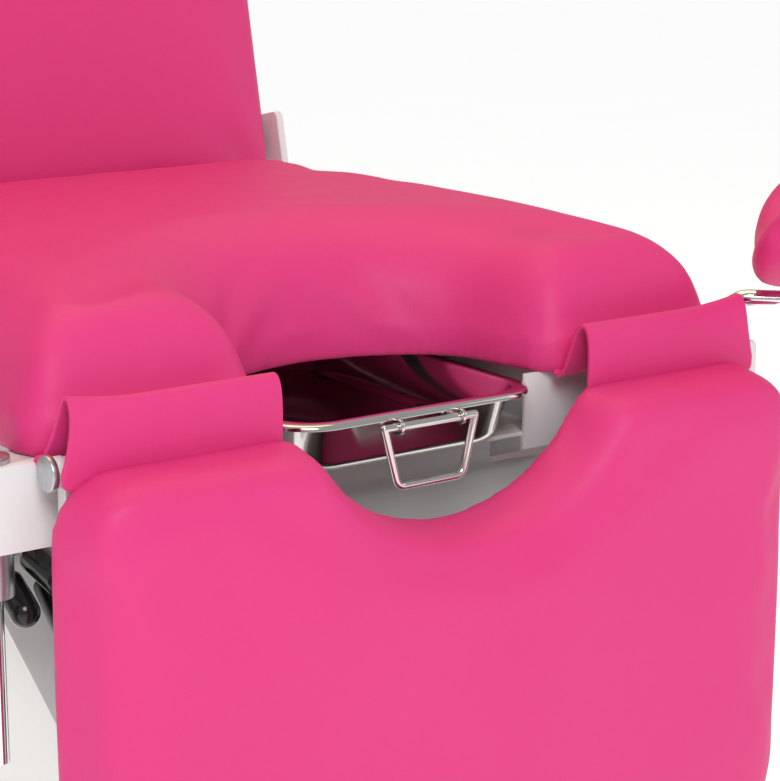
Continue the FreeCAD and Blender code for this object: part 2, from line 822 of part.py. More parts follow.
# Release levers
def lever_rod(end):
    hub_centre = V(end.x, lever_pivot_y, lever_pivot_z)
    across = V(lever_hub_half, 0, 0)
    hub = bar(hub_centre - across, hub_centre + across, lever_hub_radius)
    body = one([hub, bar(hub_centre, end, lever_rod_radius)])
    return body.cut(bar(hub_centre - across, hub_centre + across, lever_axle_radius + running_gap))


def lever_grip(end):
    hub_centre = V(end.x, lever_pivot_y, lever_pivot_z)
    along = (end - hub_centre).normalize()
    start = hub_centre + along * lever_grip_start
    body = one([bar(start, end, lever_grip_radius), Part.makeSphere(lever_grip_radius, end)])
    return body.cut(bar(hub_centre, end, lever_rod_radius))


# Leg supports, drawn with the arm along +x at the datum height and turned into place
def placed_support(shape, side, angle, lift):
    moved = shape.copy()
    moved.rotate(V(0, 0, 0), V(0, 0, 1), angle)
    moved.translate(V(side * support_x, support_y, lift))
    return moved


def support_rod():
    points = [V(0, 0, support_rod_bottom), V(0, 0, support_arm_z), V(support_arm_length, 0, support_arm_z)]
    return bent_rod(points, [0, support_bend, 0], support_rod_radius)


def bush(knob_angle):
    low = -tube_height - soft_gap
    pieces = [
        bar(V(0, 0, low - bush_collar_height), V(0, 0, soft_gap + bush_flange), bush_radius),
        bar(V(0, 0, low - bush_collar_height), V(0, 0, low), bush_collar_radius),
        bar(V(0, 0, soft_gap), V(0, 0, soft_gap + bush_flange), bush_collar_radius),
    ]
    bore = bar(V(0, 0, low - bush_collar_height), V(0, 0, soft_gap + bush_flange),
               support_rod_radius + running_gap)
    turn = math.radians(knob_angle)
    height = low - bush_collar_height / 2
    thread = bar(V(0, 0, height), V(math.cos(turn), math.sin(turn), 0) * knob_screw_end + V(0, 0, height),
                 knob_screw_radius + running_gap)
    return one(pieces).cut([bore, thread])


def knob():
    """Star knob on its screw, along +x from the rod."""
    height = -tube_height - soft_gap - bush_collar_height / 2
    axis = V(0, 0, height)
    end = knob_screw_end + knob_length
    head = bar(axis + V(knob_screw_end, 0, 0), axis + V(end, 0, 0), knob_radius)
    cuts = []
    for lobe in range(knob_lobes):
        turn = 2 * math.pi * lobe / knob_lobes
        spot = V(0, math.cos(turn), math.sin(turn)) * (knob_radius + knob_scallop / 4) + axis
        cuts.append(bar(spot + V(knob_screw_end, 0, 0), spot + V(end, 0, 0), knob_scallop))
    tip = axis + V(support_rod_radius + soft_gap, 0, 0)
    screw = bar(tip, axis + V(end - knob_cap, 0, 0), knob_screw_radius)
    return one([head.cut(cuts), screw])


def crutch_centre_z():
    return support_arm_z + clamp_top + saddle_thickness + crutch_radius + soft_gap


def trough(inner, outer, half_angle, start, length):
    """Open gutter along x, round about the crutch's own axis."""
    centre = V(start, 0, crutch_centre_z())
    turn = math.radians(half_angle)
    left = V(0, -math.sin(turn), -math.cos(turn))
    right = V(0, math.sin(turn), -math.cos(turn))
    down = V(0, 0, -1)
    wire = Part.Wire([
        Part.Arc(centre + left * outer, centre + down * outer, centre + right * outer).toShape(),
        Part.makeLine(centre + right * outer, centre + right * inner),
        Part.Arc(centre + right * inner, centre + down * inner, centre + left * inner).toShape(),
        Part.makeLine(centre + left * inner, centre + left * outer),
    ])
    return Part.Face(wire).extrude(V(length, 0, 0))


def crutch_pad():
    """Gutter with round ends when seen from the side."""
    gutter = trough(crutch_radius - crutch_thickness, crutch_radius, crutch_half_angle,
                    crutch_start, crutch_length)
    bounds = gutter.BoundBox
    corners = [V(bounds.XMin, bounds.YMin, bounds.ZMin), V(bounds.XMax, bounds.YMin, bounds.ZMin),
               V(bounds.XMax, bounds.YMin, bounds.ZMax), V(bounds.XMin, bounds.YMin, bounds.ZMax)]
    radii = [crutch_end_low, crutch_end_low, crutch_end_high, crutch_end_high]
    solid = gutter.common(plate(corners, radii, V(0, bounds.YLength, 0)))
    return solid.makeFillet(crutch_round, solid.Edges)


def crutch_clamp():
    saddle_inner = crutch_radius + soft_gap
    saddle_start = clamp_start + clamp_length / 2 - saddle_length / 2
    saddle = trough(saddle_inner, saddle_inner + saddle_thickness, saddle_half_angle,
                    saddle_start, saddle_length)
    block = box(clamp_start, clamp_start + clamp_length, -clamp_half_width, clamp_half_width,
                support_arm_z - clamp_bottom, support_arm_z + clamp_top + clamp_half_width)
    clear = bar(V(0, 0, crutch_centre_z()), V(support_arm_length, 0, crutch_centre_z()),
                saddle_inner + saddle_thickness / 2)
    bore = bar(V(0, 0, support_arm_z), V(support_arm_length, 0, support_arm_z),
               support_rod_radius + running_gap)
    return one([block.cut(clear), saddle]).cut(bore)


# Pedestal
def cradle_half_width(z):
    slope = (cradle_top_half - cradle_foot_half) / (cradle_top_z - cradle_foot_z)
    return cradle_foot_half + (z - cradle_foot_z) * slope


def cradle_front_plate():
    y = cradle_front_y
    points = [V(-cradle_foot_half, y, cradle_foot_z), V(cradle_foot_half, y, cradle_foot_z),
              V(cradle_top_half, y, cradle_top_z), V(cradle_tab_half, y, cradle_top_z),
              V(cradle_tab_half, y, cradle_tab_z), V(-cradle_tab_half, y, cradle_tab_z),
              V(-cradle_tab_half, y, cradle_top_z), V(-cradle_top_half, y, cradle_top_z)]
    tip, tab = cradle_tip_corner, cradle_tab_corner
    return plate(points, [0, 0, tip, tab, tab, tab, tab, tip], V(0, cradle_sheet, 0))


def cradle_rear_plate():
    y = cradle_rear_y
    top = cradle_half_width(cradle_rear_top_z)
    points = [V(-cradle_foot_half, y, cradle_foot_z), V(cradle_foot_half, y, cradle_foot_z),
              V(top, y, cradle_rear_top_z), V(cradle_notch_half, y, cradle_rear_top_z),
              V(cradle_notch_half, y, cradle_notch_z), V(-cradle_notch_half, y, cradle_notch_z),
              V(-cradle_notch_half, y, cradle_rear_top_z), V(-top, y, cradle_rear_top_z)]
    tip, tab, notch = cradle_tip_corner, cradle_tab_corner, cradle_notch_corner
    return plate(points, [0, 0, tip, tab, notch, notch, tab, tip], V(0, cradle_sheet, 0))


def cradle_side():
    """Slanted sheet between the front and rear plates, its outer face on their slanted edges."""
    y0 = cradle_front_y + cradle_sheet
    slope = (cradle_top_half - cradle_foot_half) / (cradle_top_z - cradle_foot_z)
    wide = cradle_sheet * math.sqrt(1 + slope * slope)
    top_z = cradle_rear_top_z
    points = [V(cradle_foot_half, y0, cradle_foot_z), V(cradle_half_width(top_z), y0, top_z),
              V(cradle_half_width(top_z) - wide, y0, top_z), V(cradle_foot_half - wide, y0, cradle_foot_z)]
    return plate(points, [0] * 4, V(0, cradle_rear_y - y0, 0))


def tilt_bearing():
    """Upright plate with the tilt bore, standing on the slanted side of the cradle."""
    x = bearing_inner
    centre = V(x, base_middle, tilt_axis_z)
    low = cradle_foot_z
    foot = [V(x, base_middle - bearing_half_width, low), V(x, base_middle + bearing_half_width, low)]
    upright = eye_plate(x, bearing_thickness, centre, bearing_eye, foot, tilt_pin_radius + running_gap)
    slope = (cradle_top_half - cradle_foot_half) / (cradle_top_z - cradle_foot_z)
    wide = cradle_sheet * math.sqrt(1 + slope * slope)
    y0 = cradle_front_y
    below = [V(cradle_foot_half - wide, y0, low), V(cradle_half_width(0) - wide, y0, 0),
             V(2 * cradle_top_half, y0, 0), V(2 * cradle_top_half, y0, low)]
    outside = plate(below, [0] * 4, V(0, cradle_rear_y - cradle_front_y, 0))
    return upright.cut(outside)


def floor_z():
    return -seat_height


def tube_bottom():
    return floor_z() + foot_pad_height


def tube_top():
    return tube_bottom() + foot_tube_height


def column():
    w = column_wall
    low = tube_top()
    outer = box(-cradle_foot_half, cradle_foot_half, column_front, column_rear, low, cradle_foot_z)
    hollow = box(w - cradle_foot_half, cradle_foot_half - w, column_front + w, column_rear - w,
                 low + flange_thickness, cradle_foot_z - w)
    head = box(-cradle_foot_half, cradle_foot_half, cradle_front_y, cradle_rear_y + cradle_sheet,
               cradle_foot_z - w, cradle_foot_z)
    flange = box(-flange_half_width, flange_half_width, column_front - flange_overhang,
                 column_rear + flange_overhang, low, low + flange_thickness)
    reach = V(0, spring_plate_round, 0)
    foot = [V(0, tilt_bar_y, cradle_foot_z) - reach, V(0, tilt_bar_y, cradle_foot_z) + reach]
    lugs = []
    for x in (spring_eye_half + side_play, -spring_eye_half - side_play - spring_plate_thickness):
        lugs.append(eye_plate(x, spring_plate_thickness, V(0, tilt_bar_y, tilt_anchor_z), tilt_lug_eye,
                              foot, spring_pin_radius + running_gap))
    body = one([outer, head, flange]).cut(hollow)
    for x, y in bolt_places():
        body = body.cut(bar(V(x, y, low), V(x, y, low + flange_thickness), bolt_radius + running_gap))
    return one([body] + lugs)


def bolt_places():
    places = []
    for x in (-runner_tube_x, runner_tube_x):
        for y in (column_front - flange_overhang / 2, column_rear + flange_overhang / 2):
            places.append((x, y))
    return places


def base_fasteners():
    """Flange bolts in the runner tubes, and the pin of the tilt spring's lower eye."""
    low = tube_top()
    solids = []
    for x, y in bolt_places():
        top = V(x, y, low + flange_thickness)
        solids.append(headed_pin(V(x, y, low - tube_wall), top, bolt_radius, bolt_head_radius, bolt_head))
    reach = V(spring_eye_half + side_play + spring_plate_thickness, 0, 0)
    pivot = V(0, tilt_bar_y, tilt_anchor_z)
    solids.append(bar(pivot - reach, pivot + reach, spring_pin_radius))
    return Part.makeCompound(solids)


def foot_tube(y):
    half = foot_tube_width / 2
    reach = foot_half_length
    return square_tube(-reach, reach, y - half, y + half, tube_bottom(), tube_top(), "x")


def runner_tubes():
    half = foot_tube_width / 2
    front = base_middle - foot_half_gap + half
    rear = base_middle + foot_half_gap - half
    left = runner_tube_x - half
    tube = square_tube(left, left + foot_tube_width, front, rear, tube_bottom(), tube_top(), "y")
    for x, y in bolt_places():
        tube = tube.cut(bar(V(x, y, tube_top() - tube_wall), V(x, y, tube_top()), bolt_radius + running_gap))
    return pair(tube)


def rubber_feet():
    feet = []
    for x in (foot_pad_inset - foot_half_length, foot_half_length - foot_pad_inset):
        for y in (base_middle - foot_half_gap, base_middle + foot_half_gap):
            top_radius = foot_pad_radius - foot_pad_taper
            feet.append(Part.makeCone(foot_pad_radius, top_radius, foot_pad_height, V(x, y, floor_z())))
    return Part.makeCompound(feet)


def springs():
    back_pivot = crank_point(back_hinge_y, back_hinge_z, back_crank, back_crank_angle)
    leg_pivot = crank_point(leg_hinge_y, leg_hinge_z, leg_crank, leg_crank_angle)
    across = V(leg_spring_x, 0, 0)
    return {
        "back": (V(0, back_anchor_y, back_anchor_z), back_pivot + back_pin_shift, back_rod_start),
        "leg": (V(0, leg_anchor_y, leg_anchor_z) + across, leg_pivot + leg_pin_shift + across, leg_rod_start),
        "tilt": (V(0, tilt_bar_y, tilt_anchor_z), V(0, tilt_bar_y, tilt_pivot_z), tilt_rod_start),
    }


def all_nodes():
    nodes = {
        "base_front_foot": foot_tube(base_middle - foot_half_gap),
        "base_rear_foot": foot_tube(base_middle + foot_half_gap),
        "base_runners": runner_tubes(),
        "rubber_feet": rubber_feet(),
        "column": column(),
        "base_fasteners": base_fasteners(),
        "cradle_front_plate": cradle_front_plate(),
        "cradle_rear_plate": cradle_rear_plate(),
        "cradle_sides": pair(cradle_side()),
        "tilt_bearings": pair(tilt_bearing()),
        "right_rail": rail(),
        "left_rail": mirrored(rail()),
        "right_front_beam": front_beam(),
        "left_front_beam": mirrored(front_beam()),
        "tilt_crossbar": tilt_crossbar(),
        "mid_crossbar": mid_crossbar(),
        "rear_crossbar": rear_crossbar(),
        "spring_anchors": spring_anchors(),
        "leg_rest_lugs": pair(leg_rest_lug()),
        "backrest_brackets": pair(back_bracket()),
        "hinge_pins": hinge_pins(),
        "lever_bracket": lever_bracket(),
        "right_pan_runner": one([pan_runner(), runner_apron()]),
        "left_pan_runner": mirrored(pan_runner()),
        "seat_board": seat_board(),
        "seat_cushion": seat_cushion(),
        "right_flap": flap(),
        "left_flap": mirrored(flap()),
        "leg_rest_board": leg_rest_board(),
        "leg_rest_cushion": leg_rest_cushion(),
        "leg_rest_frame": leg_rest_frame(),
        "backrest_board": backrest_board(),
        "backrest_cushion": backrest_cushion(),
        "backrest_frame": backrest_frame(),
        "drain_pan": drain_pan(),
        "pan_lugs": pan_lugs(),
        "front_pan_handle": handle(True),
        "rear_pan_handle": handle(False),
    }
    for name, (anchor, pivot, rod_start) in springs().items():
        nodes[name + "_spring_cylinder"] = spring_cylinder_solid(anchor, pivot)
        nodes[name + "_spring_rod"] = spring_rod_solid(anchor, pivot, rod_start)
    for name, end in lever_ends.items():
        nodes[name + "_rod"] = lever_rod(end)
        nodes[name + "_grip"] = lever_grip(end)
    for name, side, angle, lift, knob_angle in (
        ("left", -1, left_arm_angle, left_support_raise, left_knob_angle),
        ("right", 1, right_arm_angle, 0, right_knob_angle),
    ):
        nodes[name + "_support_bush"] = placed_support(bush(knob_angle), side, 0, 0)
        nodes[name + "_clamp_knob"] = placed_support(knob(), side, knob_angle, 0)
        nodes[name + "_support_rod"] = placed_support(support_rod(), side, angle, lift)
        nodes[name + "_crutch_clamp"] = placed_support(crutch_clamp(), side, angle, lift)
        nodes[name + "_crutch_pad"] = placed_support(crutch_pad(), side, angle, lift)
    return nodes


def main():
    os.makedirs("parts", exist_ok=True)
    datum = V(0, -part_middle, seat_height)
    for name, shape in all_nodes().items():
        placed = shape.copy()
        placed.translate(datum)
        placed.exportStep("parts/" + name + ".step")
        state = "" if placed.isValid() else " INVALID"
        print(name, len(placed.Solids), round(placed.Volume / 1000, 1), "cm3" + state)


main()
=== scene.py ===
# %% [markdown]
# # An examination chair, dressed over its CAD frame
# The chair's solids come from the CAD model and stay where they are: z = 0 is the floor, y = 0 is the
# middle of the chair, and x runs across it. This lesson makes the looks: the soft vinyl cushions, the
# polished pan, the painted tubes, and the light of a plain studio.

# %% Load the frame
import bpy
import json
import math
import numpy as np
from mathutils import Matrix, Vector


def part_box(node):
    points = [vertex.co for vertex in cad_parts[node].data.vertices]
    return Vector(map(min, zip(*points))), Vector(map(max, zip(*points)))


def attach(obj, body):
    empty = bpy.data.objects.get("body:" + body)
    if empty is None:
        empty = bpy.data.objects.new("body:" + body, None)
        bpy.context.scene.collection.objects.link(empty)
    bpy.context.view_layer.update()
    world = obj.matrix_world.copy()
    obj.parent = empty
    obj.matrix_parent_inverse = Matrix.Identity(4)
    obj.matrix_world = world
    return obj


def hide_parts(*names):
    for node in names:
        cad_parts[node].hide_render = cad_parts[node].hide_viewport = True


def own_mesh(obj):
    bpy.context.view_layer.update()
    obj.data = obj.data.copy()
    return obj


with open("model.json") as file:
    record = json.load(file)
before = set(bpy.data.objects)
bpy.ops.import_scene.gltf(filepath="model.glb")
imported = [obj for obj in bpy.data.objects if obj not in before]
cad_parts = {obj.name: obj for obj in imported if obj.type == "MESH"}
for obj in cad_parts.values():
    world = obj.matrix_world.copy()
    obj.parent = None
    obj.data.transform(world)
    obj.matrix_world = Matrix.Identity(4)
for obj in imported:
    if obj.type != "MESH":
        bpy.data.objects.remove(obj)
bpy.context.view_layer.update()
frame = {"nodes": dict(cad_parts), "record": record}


# %% [markdown]
# The photograph was taken close to the chair, from its front left, looking a little down. All sizes on
# the chair are easiest to write from the seat's datum: the front edge of the seat frame, at the seat's
# underside, in millimetres. One small function turns such a place into metres in the frame.

# %% Datum places
CHAIR_MIDDLE, SEAT_HEIGHT = 288, 760


def at(x, y, z):
    return Vector((x, y - CHAIR_MIDDLE, z + SEAT_HEIGHT)) / 1000


print("leg rest hinge at", [round(c, 3) for c in at(0, -42, -3)])


# %% [markdown]
# The camera stands where the photographer stood. Its focal length in pixels was worked out from known
# sizes on the chair, and the lens follows from the width of the picture.

# %% Camera
PICTURE_WIDTH = 780
FOCAL_PIXELS = 2301.2
LOOK_DOWN, LOOK_RIGHT = 13.58, 35.22
camera_data = bpy.data.cameras.new("studio_camera")
camera_data.sensor_fit = "HORIZONTAL"
camera_data.sensor_width = 36
camera_data.lens = FOCAL_PIXELS / PICTURE_WIDTH * camera_data.sensor_width
camera = bpy.data.objects.new("studio_camera", camera_data)
camera.location = at(-966.5, -1364.3, 406.1)
camera.rotation_euler = (math.radians(90 - LOOK_DOWN), 0, math.radians(-LOOK_RIGHT))
bpy.context.scene.collection.objects.link(camera)
bpy.context.scene.camera = camera
print("lens", round(camera_data.lens, 1), "mm")


# %% [markdown]
# A pale floor and large soft lamps make a plain studio. The lamps near the camera are a little cool and
# the one overhead is warm, which turns the top of the seat towards coral, as in the photograph. The floor
# glows faintly, as paper lit from behind does, so that it stays white in a soft light.

# %% Floor, lamps and sky
bpy.ops.object.select_all(action="DESELECT")
bpy.ops.mesh.primitive_plane_add(size=160, location=(0, 0, 0))
floor = bpy.context.object
floor.name = "studio_floor"


def lamp(name, place, target, size, power, colour):
    data = bpy.data.lights.new(name, "AREA")
    data.shape = "DISK"
    data.size, data.energy, data.color = size, power, colour
    thing = bpy.data.objects.new(name, data)
    thing.location = place
    thing.rotation_euler = (Vector(target) - Vector(place)).to_track_quat("-Z", "Y").to_euler()
    bpy.context.scene.collection.objects.link(thing)


MIDDLE = (0, -0.1, 0.8)
SKY_STRENGTH = 0.44
lamp("front_lamp", (-1.2, -2.3, 2.8), (0, -0.2, 0.9), 1.6, 56, (0.98, 0.96, 1.0))
lamp("side_lamp", (2.6, -1.6, 2.0), MIDDLE, 1.8, 8, (1.0, 0.98, 0.97))
lamp("top_lamp", (0.2, 0.7, 3.1), MIDDLE, 2.2, 25, (1.0, 0.68, 0.24))
sky = bpy.data.worlds.new("studio_sky")
bpy.context.scene.world = sky
sky.use_nodes = True
sky.node_tree.nodes["Background"].inputs["Color"].default_value = (1, 1, 1, 1)
sky.node_tree.nodes["Background"].inputs["Strength"].default_value = SKY_STRENGTH
bpy.context.scene.view_settings.view_transform = "Standard"


# %% [markdown]
# Finishes are built from shader nodes. A small class wraps a socket, so that masks and colours can be
# written as sums in Python, and one method adds any other node.

# %% Shader sums
class Shade:
    """A shader socket that can be used in a Python expression."""

    def __init__(self, tree, socket):
        self.tree, self.socket = tree, socket

    def node(self, kind, values, settings=(), output=0):
        made = self.tree.nodes.new("ShaderNode" + kind)
        for name, value in dict(settings).items():
            setattr(made, name, value)
        for name, value in values.items():
            if isinstance(value, Shade):
                self.tree.links.new(value.socket, made.inputs[name])
            else:
                made.inputs[name].default_value = value
        return Shade(self.tree, made.outputs[output])

    def maths(self, operation, first, second=0.0):
        return self.node("Math", {0: first, 1: second}, {"operation": operation})

    def __add__(self, other):
        return self.maths("ADD", self, other)

    def __rsub__(self, other):
        return self.maths("SUBTRACT", other, self)

    def __mul__(self, other):
        return self.maths("MULTIPLY", self, other)

    __radd__ = __add__
    __rmul__ = __mul__

    def mix(self, first, second):
        """Colour between two colours, with this socket as the factor."""
        return self.node("Mix", {0: self, 6: first, 7: second}, {"data_type": "RGBA"}, 2)

    def noise(self, scale, detail=2.0, roughness=0.5):
        return self.node("TexNoise", {"Vector": self, "Scale": scale, "Detail": detail,
                                      "Roughness": roughness})

    def cells(self, scale):
        return self.node("TexVoronoi", {"Vector": self, "Scale": scale}, {"feature": "DISTANCE_TO_EDGE"})

    def stretch(self, x, y, z):
        return self.node("Mapping", {"Vector": self, "Scale": (x, y, z)})

    def band(self, low, high):
        """0 below low, 1 above high, smooth between."""
        return self.node("MapRange", {"Value": self, "From Min": low, "From Max": high},
                         {"interpolation_type": "SMOOTHSTEP"})


def finish(name, **fixed):
    """New material; returns it, the place on the piece, and a function that feeds its shader's sockets."""
    material = bpy.data.materials.new(name)
    material.use_nodes = True
    tree = material.node_tree
    shader = tree.nodes["Principled BSDF"]
    for socket, value in fixed.items():
        shader.inputs[socket.replace("_", " ")].default_value = value
    place = Shade(tree, tree.nodes.new("ShaderNodeTexCoord").outputs["Object"])

    def feed(**sockets):
        for socket, shade in sockets.items():
            tree.links.new(shade.socket, shader.inputs[socket.replace("_", " ")])

    return material, place, feed


def bump(height, distance, strength):
    return height.node("Bump", {"Height": height, "Distance": distance, "Strength": strength})


print("shader sums ready")


# %% [markdown]
# Vinyl is a smooth coated cloth. It has a fine pebble grain, broad soft unevenness where the foam pulls
# it, and a satin shine that dulls a little where hands and cloths rub it.

# %% Pink vinyl
VINYL = (0.715, 0.050, 0.226, 1)
VINYL_DEEP = (0.655, 0.037, 0.188, 1)


def vinyl_finish(name, colour, deep):
    material, place, feed = finish(name, Specular_IOR_Level=0.22, Coat_Roughness=0.4)
    broad = place.noise(7, 3)
    rub = place.noise(38, 4, 0.6)
    pebble = place.cells(720).band(0.0, 0.32)
    fine = place.noise(1500, 2)
    feed(Base_Color=(broad * 0.55 + rub * 0.3).mix(deep, colour),
         Roughness=0.40 + rub * 0.16 + (1 - pebble) * 0.05,
         Coat_Weight=0.02 + broad * 0.05,
         Normal=bump(pebble * 0.5 + fine * 0.3 + broad * 6.0, 0.00022, 0.5))
    return material


pink_vinyl = vinyl_finish("pink_vinyl", VINYL, VINYL_DEEP)
print("vinyl made")


# %% [markdown]
# The metal parts are powder coated white, zinc plated, chromed or polished. Powder coat has a faint
# orange-peel skin; polished sheet keeps fine drawn lines; plated pins are dull and spangled.

# %% Paint and metals
white_paint, place, feed = finish("white_powder_coat", Specular_IOR_Level=0.5)
peel = place.noise(420, 2)
dust = place.noise(9, 4, 0.65)
feed(Base_Color=dust.mix((0.76, 0.765, 0.76, 1), (0.70, 0.705, 0.70, 1)),
     Roughness=0.26 + peel * 0.08 + dust * 0.10,
     Normal=bump(peel, 0.00006, 0.5))

polished_steel, place, feed = finish("polished_steel", Metallic=1.0)
drawn = place.stretch(900, 40, 900).noise(1.0, 3)
smear = place.noise(24, 4, 0.6)
feed(Base_Color=smear.mix((0.66, 0.64, 0.62, 1), (0.58, 0.56, 0.545, 1)),
     Roughness=0.07 + drawn * 0.06 + smear * 0.06,
     Normal=bump(drawn, 0.00002, 0.35))

chrome, place, feed = finish("bright_chrome", Metallic=1.0)
haze = place.noise(60, 4, 0.6)
feed(Base_Color=haze.mix((0.84, 0.84, 0.85, 1), (0.76, 0.76, 0.77, 1)),
     Roughness=0.035 + haze * 0.05)

zinc, place, feed = finish("zinc_plate", Metallic=1.0)
dull = place.noise(180, 3)
feed(Base_Color=dull.mix((0.60, 0.63, 0.65, 1), (0.47, 0.50, 0.52, 1)),
     Roughness=0.26 + dull * 0.22,
     Normal=bump(dull, 0.00008, 0.6))
print("paint and metals made")


# %% [markdown]
# The grips are dipped in gloss black plastic, the gas springs have black enamel tubes, the feet are
# rubber, and the boards under the cushions are plywood, coloured near black so that they don't show.

# %% Plastic, rubber and plywood
black_plastic, place, feed = finish("gloss_black_plastic", Specular_IOR_Level=0.35, Coat_Roughness=0.05)
lint = place.noise(900, 2).band(0.66, 0.80)
swirl = place.noise(30, 4, 0.6)
feed(Base_Color=lint.mix((0.010, 0.010, 0.011, 1), (0.030, 0.030, 0.030, 1)),
     Roughness=0.10 + swirl * 0.10,
     Coat_Weight=0.16 - swirl * 0.08)

black_enamel, place, feed = finish("black_enamel")
peel = place.noise(300, 2)
feed(Base_Color=peel.mix((0.018, 0.018, 0.019, 1), (0.030, 0.030, 0.031, 1)),
     Roughness=0.20 + peel * 0.12,
     Normal=bump(peel, 0.00004, 0.5))

foot_rubber, place, feed = finish("foot_rubber")
speck = place.noise(650, 3)
feed(Base_Color=speck.mix((0.020, 0.020, 0.020, 1), (0.055, 0.053, 0.050, 1)),
     Roughness=0.66 + speck * 0.2,
     Normal=bump(speck, 0.00015, 0.6))

# The boards are coloured near black; grain and pores only vary that tone a little.
plywood, place, feed = finish("near_black_plywood", Coat_Roughness=0.3)
grain = place.stretch(60, 60, 4).noise(1.0, 5, 0.6)
pores = place.stretch(700, 700, 22).noise(1.0, 2)
tone = grain.band(0.3, 0.7) * 0.8 + pores * 0.2
feed(Base_Color=tone.mix((0.060, 0.050, 0.044, 1), (0.026, 0.022, 0.020, 1)),
     Roughness=0.45 + pores * 0.2,
     Coat_Weight=0.25 - pores * 0.1,
     Normal=bump(pores, 0.0001, 0.4))

floor_paint, place, feed = finish("studio_floor", Emission_Color=(1, 1, 1, 1))
cloud = place.noise(2, 2)
feed(Base_Color=cloud.mix((0.93, 0.93, 0.93, 1), (0.90, 0.90, 0.90, 1)), Roughness=0.8 + cloud * 0.1)
floor_paint.node_tree.nodes["Principled BSDF"].inputs["Emission Strength"].default_value = 0.56
floor.data.materials.append(floor_paint)
print("materials", len(bpy.data.materials))


# %% [markdown]
# Every CAD node first gets the finish of its material slot in the record. Nodes that are modelled again
# below hide later; the rest keep these finishes.

# %% Finishes by slot
BY_SLOT = {
    "white_paint": white_paint, "zinc": zinc, "feet_rubber": foot_rubber, "plywood": plywood,
    "pink_vinyl": pink_vinyl, "pink_sheet": pink_vinyl, "polished_steel": polished_steel,
    "black_tube": black_enamel, "bright_rod": chrome, "black_grip": black_plastic,
}
slot_of = {part["node"]: part["material_slot"] for part in frame["record"]["subparts"]}
body_of = {node: body for body, nodes in frame["record"]["behaviour"]["bodies"].items() for node in nodes}


def paint(piece, material):
    piece.data.materials.clear()
    piece.data.materials.append(material)


for node, thing in frame["nodes"].items():
    paint(thing, BY_SLOT[slot_of[node]])
print("painted", len(frame["nodes"]), "nodes")


# %% [markdown]
# A few tools for working by hand in code: select one piece alone, pick its faces or edges by a test, and
# apply a modifier at once.

# %% Tools
def alone(piece):
    if bpy.context.mode != "OBJECT":
        bpy.ops.object.mode_set(mode="OBJECT")
    bpy.ops.object.select_all(action="DESELECT")
    piece.select_set(True)
    bpy.context.view_layer.objects.active = piece


def shaped(piece, kind, **settings):
    """Add a modifier and apply it."""
    alone(piece)
    modifier = piece.modifiers.new(kind.lower(), kind)
    for name, value in settings.items():
        setattr(modifier, name, value)
    bpy.ops.object.modifier_apply(modifier=modifier.name)


def pick(piece, wanted, kind="FACE"):
    """Go into edit mode with the faces or edges selected that pass a test on their middle and direction."""
    alone(piece)
    bpy.ops.object.mode_set(mode="EDIT")
    bpy.ops.mesh.select_mode(type=kind)
    bpy.ops.mesh.select_all(action="DESELECT")
    bpy.ops.object.mode_set(mode="OBJECT")
    mesh = piece.data
    if kind == "FACE":
        for face in mesh.polygons:
            face.select = bool(wanted(face.center, face.normal))
    else:
        for edge in mesh.edges:
            a, b = (mesh.vertices[i].co for i in edge.vertices)
            edge.select = bool(wanted((a + b) / 2, (b - a).normalized()))
    bpy.ops.object.mode_set(mode="EDIT")


def done(piece, angle=35):
    """Leave edit mode, put the place in the mesh and smooth the shading up to an angle."""
    alone(piece)
    bpy.ops.object.transform_apply(location=True, rotation=True, scale=True)
    bpy.ops.object.shade_smooth_by_angle(angle=math.radians(angle))


def named(name):
    piece = bpy.context.object
    piece.name = piece.data.name = name
    return piece


def stands_for(piece, node):
    """The piece takes a CAD node's place and finish, and rides on its body."""
    paint(piece, BY_SLOT[slot_of[node]])
    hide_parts(node)
    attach(piece, body_of[node])


def copy_of(node, name):
    """A merged copy of a CAD node's mesh, to work on."""
    piece = bpy.data.objects.new(name, frame["nodes"][node].data.copy())
    bpy.context.scene.collection.objects.link(piece)
    alone(piece)
    bpy.ops.object.mode_set(mode="EDIT")
    bpy.ops.mesh.select_all(action="SELECT")
    bpy.ops.mesh.remove_doubles(threshold=0.00001)
    bpy.ops.object.mode_set(mode="OBJECT")
    return piece


print("tools ready")


# %% [markdown]
# Cushions are the heart of this chair. Each one starts from its solid, drawn in a little, is remeshed
# into even squares and smoothed, most of all on its rounded upper side, and is blown up as cloth by a
# light pressure, so that the vinyl looks stretched over foam. Points where the pad rests on its board
# are pinned, and a cap on the movement keeps the size.

# %% Cushion maker
def points(piece):
    flat = np.empty(len(piece.data.vertices) * 3)
    piece.data.vertices.foreach_get("co", flat)
    return flat.reshape(-1, 3)


def set_points(piece, places):
    piece.data.vertices.foreach_set("co", places.ravel())
    piece.data.update()


def group_of(piece, name, chosen):
    group = piece.vertex_groups.new(name=name)
    group.add([int(i) for i in np.flatnonzero(chosen)], 1.0, "REPLACE")
    return name


CLOTH_FRAMES = 20
CLOTH_PRESSURE = 4.0
CLOTH_STIFFNESS = 20


